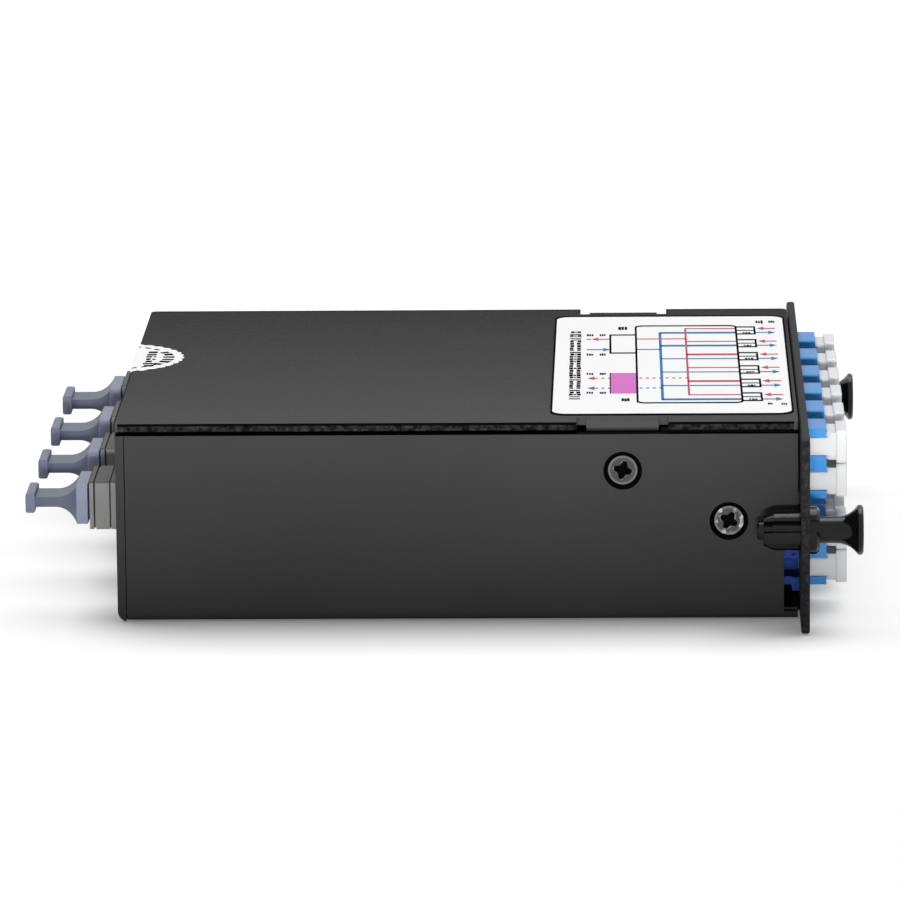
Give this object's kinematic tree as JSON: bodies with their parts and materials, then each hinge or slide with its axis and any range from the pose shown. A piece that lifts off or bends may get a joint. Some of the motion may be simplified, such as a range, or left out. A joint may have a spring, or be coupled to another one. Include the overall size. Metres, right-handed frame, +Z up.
{
  "type": "fibre cassette",
  "caption": "Folded steel fibre cassette with capped duplex LC ports in its front plate, capped MPO ports behind, and two push-pull latches.",
  "frame": {"origin": "middle of the front plate's lower edge, in the plane of its rear face, which seats on a panel", "axes": "+X out of the front plate, +Z up as the cassette lies on its tray, +Y to its right-hand side seen from behind the plate"},
  "size_m": [0.1506, 0.13, 0.0362],
  "materials": {
    "black_powder_coat": "fine-textured matt black powder coat",
    "black_screw": "black-plated steel, worn at the edges",
    "black_nylon": "glossy moulded nylon",
    "blue_adapter": "semi-gloss moulded plastic",
    "clear_white_cap": "natural translucent polyethylene",
    "grey_adapter": "matt moulded plastic",
    "blue_grey_cap": "soft satin moulded plastic",
    "label_film": "satin printed film",
    "seal_film": "white seal",
    "splitter_steel": "drawn stainless tube",
    "grey_moulding": "plain moulded plastic"
  },
  "bodies": {
    "root": {"tray": "black_powder_coat", "lid": "black_powder_coat", "faceplate": "black_powder_coat", "side_screws": "black_screw", "wiring_label": "label_film", "seal_sticker": "seal_film", "splitters": "splitter_steel", "splitter_rack": "grey_moulding", "fibre_spool_near": "grey_moulding", "fibre_spool_far": "grey_moulding", "latch_grommet_near": "black_nylon", "latch_grommet_far": "black_nylon", "lc_adapter_upper_1": "blue_adapter", "lc_adapter_upper_2": "blue_adapter", "lc_adapter_upper_3": "blue_adapter", "lc_adapter_upper_4": "blue_adapter", "lc_adapter_upper_5": "blue_adapter", "lc_adapter_upper_6": "blue_adapter", "lc_adapter_lower_1": "blue_adapter", "lc_adapter_lower_2": "blue_adapter", "lc_adapter_lower_3": "blue_adapter", "lc_adapter_lower_4": "blue_adapter", "lc_adapter_lower_5": "blue_adapter", "lc_adapter_lower_6": "blue_adapter", "mpo_adapter_1": "grey_adapter", "mpo_adapter_2": "grey_adapter", "mpo_adapter_3": "grey_adapter", "mpo_adapter_4": "grey_adapter"},
    "lc_cap_upper_1_top": {"lc_cap_upper_1_top": "clear_white_cap"},
    "lc_cap_upper_1_bottom": {"lc_cap_upper_1_bottom": "clear_white_cap"},
    "lc_cap_upper_2_top": {"lc_cap_upper_2_top": "clear_white_cap"},
    "lc_cap_upper_2_bottom": {"lc_cap_upper_2_bottom": "clear_white_cap"},
    "lc_cap_upper_3_top": {"lc_cap_upper_3_top": "clear_white_cap"},
    "lc_cap_upper_3_bottom": {"lc_cap_upper_3_bottom": "clear_white_cap"},
    "lc_cap_upper_4_top": {"lc_cap_upper_4_top": "clear_white_cap"},
    "lc_cap_upper_4_bottom": {"lc_cap_upper_4_bottom": "clear_white_cap"},
    "lc_cap_upper_5_top": {"lc_cap_upper_5_top": "clear_white_cap"},
    "lc_cap_upper_5_bottom": {"lc_cap_upper_5_bottom": "clear_white_cap"},
    "lc_cap_upper_6_top": {"lc_cap_upper_6_top": "clear_white_cap"},
    "lc_cap_upper_6_bottom": {"lc_cap_upper_6_bottom": "clear_white_cap"},
    "lc_cap_lower_1_top": {"lc_cap_lower_1_top": "clear_white_cap"},
    "lc_cap_lower_1_bottom": {"lc_cap_lower_1_bottom": "clear_white_cap"},
    "lc_cap_lower_2_top": {"lc_cap_lower_2_top": "clear_white_cap"},
    "lc_cap_lower_2_bottom": {"lc_cap_lower_2_bottom": "clear_white_cap"},
    "lc_cap_lower_3_top": {"lc_cap_lower_3_top": "clear_white_cap"},
    "lc_cap_lower_3_bottom": {"lc_cap_lower_3_bottom": "clear_white_cap"},
    "lc_cap_lower_4_top": {"lc_cap_lower_4_top": "clear_white_cap"},
    "lc_cap_lower_4_bottom": {"lc_cap_lower_4_bottom": "clear_white_cap"},
    "lc_cap_lower_5_top": {"lc_cap_lower_5_top": "clear_white_cap"},
    "lc_cap_lower_5_bottom": {"lc_cap_lower_5_bottom": "clear_white_cap"},
    "lc_cap_lower_6_top": {"lc_cap_lower_6_top": "clear_white_cap"},
    "lc_cap_lower_6_bottom": {"lc_cap_lower_6_bottom": "clear_white_cap"},
    "mpo_cap_1": {"mpo_cap_1": "blue_grey_cap"},
    "mpo_cap_2": {"mpo_cap_2": "blue_grey_cap"},
    "mpo_cap_3": {"mpo_cap_3": "blue_grey_cap"},
    "mpo_cap_4": {"mpo_cap_4": "blue_grey_cap"},
    "latch_plunger_near": {"latch_plunger_near": "black_nylon"},
    "latch_plunger_far": {"latch_plunger_far": "black_nylon"}
  },
  "joints": [
    {"name": "lc_cap_upper_1_top_pull", "type": "slide", "parent": "root", "child": "lc_cap_upper_1_top", "axis": [1, 0, 0], "range_m": [0, 0.009]},
    {"name": "lc_cap_upper_1_bottom_pull", "type": "slide", "parent": "root", "child": "lc_cap_upper_1_bottom", "axis": [1, 0, 0], "range_m": [0, 0.009]},
    {"name": "lc_cap_upper_2_top_pull", "type": "slide", "parent": "root", "child": "lc_cap_upper_2_top", "axis": [1, 0, 0], "range_m": [0, 0.009]},
    {"name": "lc_cap_upper_2_bottom_pull", "type": "slide", "parent": "root", "child": "lc_cap_upper_2_bottom", "axis": [1, 0, 0], "range_m": [0, 0.009]},
    {"name": "lc_cap_upper_3_top_pull", "type": "slide", "parent": "root", "child": "lc_cap_upper_3_top", "axis": [1, 0, 0], "range_m": [0, 0.009]},
    {"name": "lc_cap_upper_3_bottom_pull", "type": "slide", "parent": "root", "child": "lc_cap_upper_3_bottom", "axis": [1, 0, 0], "range_m": [0, 0.009]},
    {"name": "lc_cap_upper_4_top_pull", "type": "slide", "parent": "root", "child": "lc_cap_upper_4_top", "axis": [1, 0, 0], "range_m": [0, 0.009]},
    {"name": "lc_cap_upper_4_bottom_pull", "type": "slide", "parent": "root", "child": "lc_cap_upper_4_bottom", "axis": [1, 0, 0], "range_m": [0, 0.009]},
    {"name": "lc_cap_upper_5_top_pull", "type": "slide", "parent": "root", "child": "lc_cap_upper_5_top", "axis": [1, 0, 0], "range_m": [0, 0.009]},
    {"name": "lc_cap_upper_5_bottom_pull", "type": "slide", "parent": "root", "child": "lc_cap_upper_5_bottom", "axis": [1, 0, 0], "range_m": [0, 0.009]},
    {"name": "lc_cap_upper_6_top_pull", "type": "slide", "parent": "root", "child": "lc_cap_upper_6_top", "axis": [1, 0, 0], "range_m": [0, 0.009]},
    {"name": "lc_cap_upper_6_bottom_pull", "type": "slide", "parent": "root", "child": "lc_cap_upper_6_bottom", "axis": [1, 0, 0], "range_m": [0, 0.009]},
    {"name": "lc_cap_lower_1_top_pull", "type": "slide", "parent": "root", "child": "lc_cap_lower_1_top", "axis": [1, 0, 0], "range_m": [0, 0.009]},
    {"name": "lc_cap_lower_1_bottom_pull", "type": "slide", "parent": "root", "child": "lc_cap_lower_1_bottom", "axis": [1, 0, 0], "range_m": [0, 0.009]},
    {"name": "lc_cap_lower_2_top_pull", "type": "slide", "parent": "root", "child": "lc_cap_lower_2_top", "axis": [1, 0, 0], "range_m": [0, 0.009]},
    {"name": "lc_cap_lower_2_bottom_pull", "type": "slide", "parent": "root", "child": "lc_cap_lower_2_bottom", "axis": [1, 0, 0], "range_m": [0, 0.009]},
    {"name": "lc_cap_lower_3_top_pull", "type": "slide", "parent": "root", "child": "lc_cap_lower_3_top", "axis": [1, 0, 0], "range_m": [0, 0.009]},
    {"name": "lc_cap_lower_3_bottom_pull", "type": "slide", "parent": "root", "child": "lc_cap_lower_3_bottom", "axis": [1, 0, 0], "range_m": [0, 0.009]},
    {"name": "lc_cap_lower_4_top_pull", "type": "slide", "parent": "root", "child": "lc_cap_lower_4_top", "axis": [1, 0, 0], "range_m": [0, 0.009]},
    {"name": "lc_cap_lower_4_bottom_pull", "type": "slide", "parent": "root", "child": "lc_cap_lower_4_bottom", "axis": [1, 0, 0], "range_m": [0, 0.009]},
    {"name": "lc_cap_lower_5_top_pull", "type": "slide", "parent": "root", "child": "lc_cap_lower_5_top", "axis": [1, 0, 0], "range_m": [0, 0.009]},
    {"name": "lc_cap_lower_5_bottom_pull", "type": "slide", "parent": "root", "child": "lc_cap_lower_5_bottom", "axis": [1, 0, 0], "range_m": [0, 0.009]},
    {"name": "lc_cap_lower_6_top_pull", "type": "slide", "parent": "root", "child": "lc_cap_lower_6_top", "axis": [1, 0, 0], "range_m": [0, 0.009]},
    {"name": "lc_cap_lower_6_bottom_pull", "type": "slide", "parent": "root", "child": "lc_cap_lower_6_bottom", "axis": [1, 0, 0], "range_m": [0, 0.009]},
    {"name": "mpo_cap_1_pull", "type": "slide", "parent": "root", "child": "mpo_cap_1", "axis": [-1, 0, 0], "range_m": [0, 0.009]},
    {"name": "mpo_cap_2_pull", "type": "slide", "parent": "root", "child": "mpo_cap_2", "axis": [-1, 0, 0], "range_m": [0, 0.009]},
    {"name": "mpo_cap_3_pull", "type": "slide", "parent": "root", "child": "mpo_cap_3", "axis": [-1, 0, 0], "range_m": [0, 0.009]},
    {"name": "mpo_cap_4_pull", "type": "slide", "parent": "root", "child": "mpo_cap_4", "axis": [-1, 0, 0], "range_m": [0, 0.009]},
    {"name": "latch_plunger_near_slide", "type": "slide", "parent": "root", "child": "latch_plunger_near", "axis": [1, 0, 0], "range_m": [0, 0.004]},
    {"name": "latch_plunger_far_slide", "type": "slide", "parent": "root", "child": "latch_plunger_far", "axis": [1, 0, 0], "range_m": [-0.0016, 0.0024]}
  ]
}
